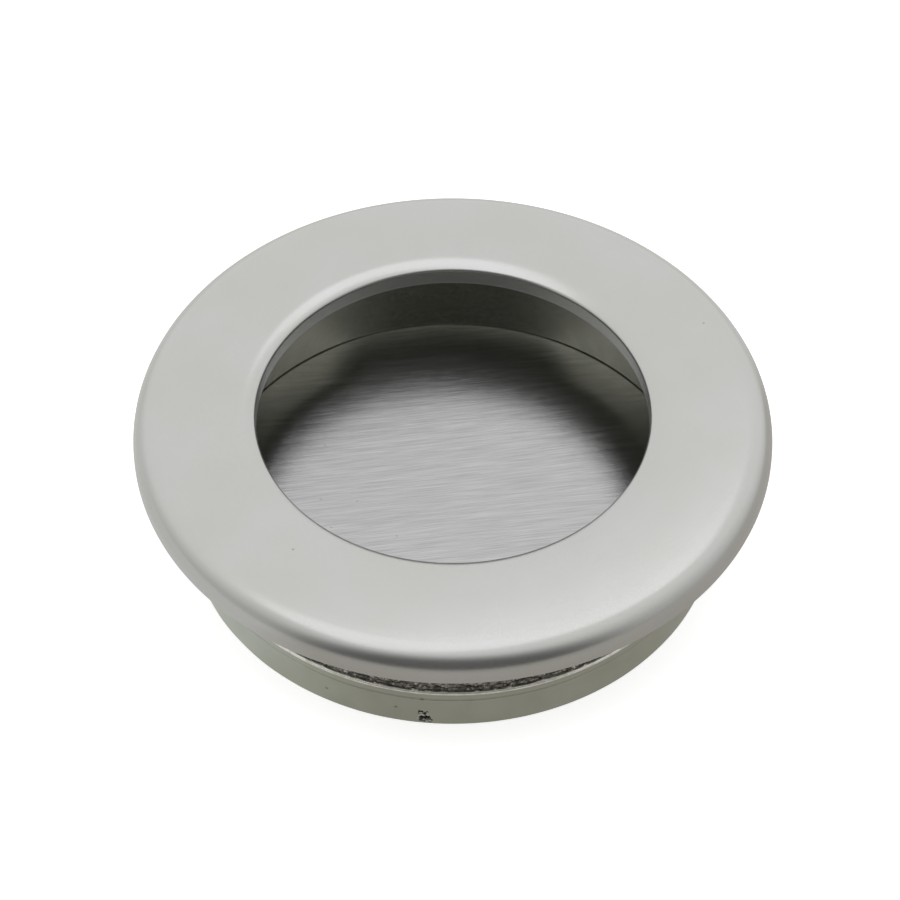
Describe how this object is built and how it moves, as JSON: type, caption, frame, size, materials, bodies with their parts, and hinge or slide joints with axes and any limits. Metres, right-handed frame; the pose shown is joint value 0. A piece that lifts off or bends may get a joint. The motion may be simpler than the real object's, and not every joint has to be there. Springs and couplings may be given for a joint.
{
  "type": "recessed cabinet handle",
  "caption": "Round recessed finger pull: a domed flange around an undercut cup with a brushed floor, let flush into a bored door or drawer front.",
  "frame": {"origin": "centre of the bottom rim, on the surface that the handle stands on", "axes": "+Z along the axis of the ring, out of the finger opening; the small gate scar on the wall faces -Y"},
  "size_m": [0.065, 0.065, 0.0168],
  "materials": {
    "satin_nickel": "satin nickel plate on a zinc casting",
    "brushed_nickel": "straight brushed plate"
  },
  "bodies": {
    "root": {"ring_body": "satin_nickel", "floor_disc": "brushed_nickel"}
  },
  "joints": []
}
